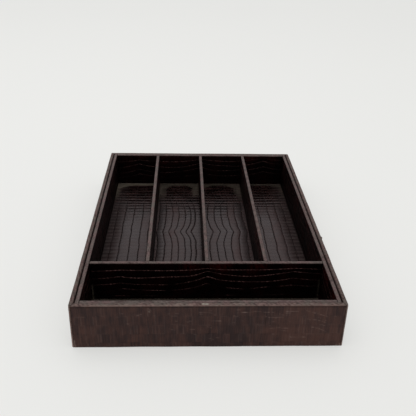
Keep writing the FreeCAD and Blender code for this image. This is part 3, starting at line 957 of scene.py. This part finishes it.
def makeCase(side):
    skin = caseSkin
    path, top = wallSection(side)
    seed = skin["seed"][side]
    ends = side in ("front", "back")
    size = np.array(cadBox[1]) - np.array(cadBox[0])
    half, otherHalf = (size[0] / 2, size[1] / 2) if ends else (size[1] / 2, size[0] / 2)
    s = wallLevels(path[1][-1])
    place, normal = followPath(path, s)
    normal = -normal  # this path runs the other way round, so its outward normal is on its right
    inward, height = place[:, 0], place[:, 1]
    # a seam leans from cornerReturn at the outer face to nothing at the rim's inner corner
    seam = skin["cornerReturn"] * np.clip(1 - inward / skin["wall"], 0, 1)
    middle = np.linspace(-1, 1, int(2 * half / skin["alongStep"][side]))
    halfGap = skin["seamGap"] / 2
    if ends:
        grid = endWallGrid(half, otherHalf, inward, seam + halfGap, middle)
    else:
        grid = sideWallGrid(half, otherHalf, inward, seam - halfGap, middle)
    along, out, outNormal, fromSeam, onCorner = grid
    up = np.broadcast_to(height[:, None], along.shape)
    level = np.broadcast_to(s[:, None], along.shape)
    relief, groove, pale, tone, stripe, hair = caseScales(along, level, up, seed)
    facingUp = np.broadcast_to(normal[:, 1][:, None], along.shape)
    facingOut = np.broadcast_to(-normal[:, 0][:, None], along.shape)
    onTop = smoothStep(0.35, 0.85, facingUp)
    face = smoothStep(0.5, 0.9, facingOut)
    nearTop = smoothStep(top - 2.2 * mm, top - 0.8 * mm, up)
    nearEnd = smoothStep(0, 4 * mm, half - np.abs(along))
    relief = relief * (1 - 0.5 * nearTop)
    relief = relief + 0.10 * mm * softNoise(along, level, 60 * mm, seed + 5) * nearEnd - 0.04 * mm
    relief = relief - skin["seamDepth"] * np.exp(-(fromSeam / (0.6 * mm)) ** 2)
    # a shallow crease runs under the rim, where the leather was pressed round the board
    crease = np.exp(-((up - top + 1.7 * mm) / (0.5 * mm)) ** 2) * face
    relief = relief - skin["creaseDepth"] * crease
    if side == "right":
        # a small bruise stands out from the right rim
        bruise = np.hypot(along - skin["bruiseAt"], up - top + 1.0 * mm) / skin["bruiseRadius"]
        relief = relief + skin["bruiseHeight"] * np.exp(-bruise ** 2) * smoothStep(0.2, 0.6, facingOut)
    nIn, nUp = normal[:, 0][:, None], normal[:, 1][:, None]
    shiftOut = -nIn * relief
    along = along + shiftOut * outNormal[0]
    out = out + shiftOut * outNormal[1]
    up = up + nUp * relief
    sign = -1 if side in ("front", "left") else 1
    across, lengthwise = (along, sign * out) if ends else (sign * out, along)
    places = np.stack([across, lengthwise, up], -1)
    # worn: most on the outer fold of the rim, then the flat of the rim, then the upright corners; on the fold
    # and the corners it is wear and also a painted highlight where the rounded edges catch light
    fold = smoothStep(0.25, 0.5, facingUp) * smoothStep(0.25, 0.5, facingOut)
    spots = 0.20 * softNoise(along, level, 14 * mm, seed + 6)
    spots = spots + 0.48 * softNoise(along, level, 3.4 * mm, seed + 7)
    wear = onTop * (0.76 + 1.25 * spots) + fold * (0.36 + 0.6 * spots)
    wear = wear + onCorner * face * (0.75 + 1.2 * spots)
    footFold = smoothStep(0.2, 0.6, -facingUp) * smoothStep(0.2, 0.6, facingOut)
    wear = wear + footFold * (0.16 + spots)
    # beside the liner the side rims get painted shade for the gap, while at the front and back the gap is
    # painted pale like the worn rim, painted light over its shade
    inner = smoothStep(skin["wall"] - 1.5 * mm, skin["wall"] - 0.5 * mm, place[:, 0])[:, None] * nearTop
    if ends:
        wear = np.maximum(wear, 0.75 * inner)
    broken = np.clip(0.9 + 0.35 * softNoise(along, level, 7 * mm, seed + 12), 0.3, 1.2)
    inner = inner * (0 if ends else 0.66) * broken
    # painted shade in the gap beside the liner, in the crease under the rim and in the corner seams
    dark = np.clip(inner + 0.5 * crease + 0.5 * np.exp(-(fromSeam / (0.5 * mm)) ** 2), 0, 1)
    tone = tone * (0.42 + 0.55 * smoothStep(28 * mm, 20 * mm, up))
    tint = skin["tone"] + tone + 0.28 * stripe + 0.16 * softNoise(along, level, 50 * mm, seed + 8)
    tint = tint + 0.15 * softNoise(along, level, 11 * mm, seed + 10)
    # the pale upright edges show on the lower half
    pale = pale * (0.15 + 0.85 * smoothStep(28 * mm, 22 * mm, up))
    marks = np.zeros(along.shape)
    bare = np.zeros(along.shape)
    if not ends:
        # the upright front corners are rubbed to a pale pink, most at the foot of the left one: wear, and a
        # painted highlight on the rounded edge
        rubbedAndLit = np.sqrt(onCorner) * face * (along < 0)
        lowLeft = smoothStep(22 * mm, 4 * mm, up) * (side == "left")
        marks = rubbedAndLit * np.clip(0.42 + 0.5 * lowLeft + 0.2 * softNoise(along, up, 7 * mm, seed + 11), 0, 1)
    if side == "front":
        fromFront = (otherHalf - out) / mm
        marks, bare, frontDark, frontTone = markFront(along, up, level, fromFront, face, fold, onTop)
        dark = np.clip(dark + frontDark, 0, 1)
        tint = tint + frontTone
    attributes = {
        # groove: painted shade in the cell grooves, the gap, the crease and the seams, and the front's own
        # dark marks
        "groove": np.clip(groove * 0.55 * (1 - 0.5 * onTop) + dark, 0, 1),
        "wornAndLit": np.clip(wear * (1 - 0.8 * inner), 0, 1),
        "edge": np.clip(marks + (0.09 * pale + 0.09 * hair) * (1 - onTop), 0, 1),
        "dust": np.clip(bare, 0, 1),
        "tint": tint,
    }
    flip = side in ("left", "back")
    piece = gridMesh(side + "_wall_skin", places, flip=flip, attributes=attributes)
    giveThickness(piece, skin["thickness"])
    finishPiece(piece, side + "_wall_leather", caseLeather)


for wallSide in ("front", "back", "left", "right"):
    makeCase(wallSide)
print("case leathers made")


# Stage: a wide pale floor, soft light from all round and one large lamp above

stageLook = {
    "floorColour": (0.83, 0.835, 0.815),
    "floorPatches": (0.80, 0.81, 0.80),
    "floorLevel": -0.05 * mm,
    "floorGlow": (0.815, 0.815, 0.795),
    "glowShare": 0.62,
    "floorSize": 12.0,
    "skyColour": (0.83, 0.83, 0.83),
    "skyStrength": 1.0,
    "backdropColour": (0.82, 0.82, 0.84),
    "lampPlace": (-0.35, 0.25, 1.7),
    "lampSize": 1.6,
    "lampWatts": 9,
}


def seenDirectly(tree):
    # 1 for what the camera sees, also in glossy or clear things, and 0 for the light on the object
    ray = tree.nodes.new("ShaderNodeLightPath")
    total = calculate(tree, "ADD", ray.outputs["Is Camera Ray"], ray.outputs["Is Glossy Ray"])
    return calculate(tree, "ADD", total, ray.outputs["Is Transmission Ray"], clamp=True)


def mixShaders(tree, share, first, second, output):
    mixer = tree.nodes.new("ShaderNodeMixShader")
    for socket, value in zip(mixer.inputs, (share, first.outputs[0], second.outputs[0])):
        tree.links.new(value, socket)
    tree.links.new(mixer.outputs[0], tree.nodes[output].inputs["Surface"])


def makeStage():
    look = stageLook
    size = look["floorSize"] / 2
    mesh = bpy.data.meshes.new("studioFloor")
    level = look["floorLevel"]
    corners = [(-size, -size, level), (size, -size, level), (size, size, level), (-size, size, level)]
    mesh.from_pydata(corners, [], [(0, 1, 2, 3)])
    plane = bpy.data.objects.new("studioFloor", mesh)
    bpy.context.scene.collection.objects.link(plane)
    material, tree, shader, place = newMaterial("paleFloor")
    cloudy = remap(tree, noiseAt(tree, place, 1.5, 2, 0.5), 0.3, 0.7, 0.0, 0.2)
    base = mixColour(tree, cloudy, look["floorColour"], look["floorPatches"])
    tree.links.new(base, shader.inputs["Base Color"])
    shader.inputs["Roughness"].default_value = 0.8
    shader.inputs["Specular IOR Level"].default_value = 0.1
    # the camera sees the floor mostly as an even pale tone, with a share of its shade left
    glow = addNode(tree, "ShaderNodeEmission", Strength=1.0)
    glow.inputs["Color"].default_value = (*look["floorGlow"], 1)
    share = calculate(tree, "MULTIPLY", seenDirectly(tree), look["glowShare"])
    mixShaders(tree, share, shader, glow, "Material Output")
    mesh.materials.append(material)
    world = bpy.data.worlds.new("softStudio")
    world.use_nodes = True
    worldTree = world.node_tree
    sky = worldTree.nodes["Background"]
    sky.inputs["Color"].default_value = (*look["skyColour"], 1)
    sky.inputs["Strength"].default_value = look["skyStrength"]
    backdrop = addNode(worldTree, "ShaderNodeBackground", Strength=1.0)
    backdrop.inputs["Color"].default_value = (*look["backdropColour"], 1)
    mixShaders(worldTree, seenDirectly(worldTree), sky, backdrop, "World Output")
    bpy.context.scene.world = world
    lampData = bpy.data.lights.new("softLamp", "AREA")
    lampData.shape = "SQUARE"
    lampData.size = look["lampSize"]
    lampData.energy = look["lampWatts"]
    lamp = bpy.data.objects.new("softLamp", lampData)
    lamp.location = look["lampPlace"]
    # the lamp looks at the origin: tilted off the vertical, then turned round it
    aim = np.array(look["lampPlace"]) * -1
    tilt = math.atan2(math.hypot(aim[0], aim[1]), -aim[2])
    lamp.rotation_euler = (tilt, 0, math.atan2(aim[1], aim[0]) + math.pi / 2)
    bpy.context.scene.collection.objects.link(lamp)


cameraLook = {
    "place": (-0.02662, -0.67248, 0.41140),
    "right": (0.99911, -0.03555, 0.02261),
    "up": (-0.00352, 0.46447, 0.88558),
    "focalPixels": 591.18,
    "imagePixels": 416,
}


def makeCamera():
    look = cameraLook
    data = bpy.data.cameras.new("camera")
    data.sensor_width = 36
    data.lens = 36 * look["focalPixels"] / look["imagePixels"]
    data.clip_start = 0.01
    right, up = np.array(look["right"]), np.array(look["up"])
    right = right / np.linalg.norm(right)
    up = up - right * np.dot(up, right)
    up = up / np.linalg.norm(up)
    back = np.cross(right, up)
    turned = Matrix([[right[k], up[k], back[k], look["place"][k]] for k in range(3)] + [[0, 0, 0, 1]])
    camera = bpy.data.objects.new("camera", data)
    camera.matrix_world = turned
    bpy.context.scene.collection.objects.link(camera)
    bpy.context.scene.camera = camera


makeStage()
makeCamera()
bpy.context.scene.view_settings.view_transform = "Standard"
print("stage, lamp and camera made")
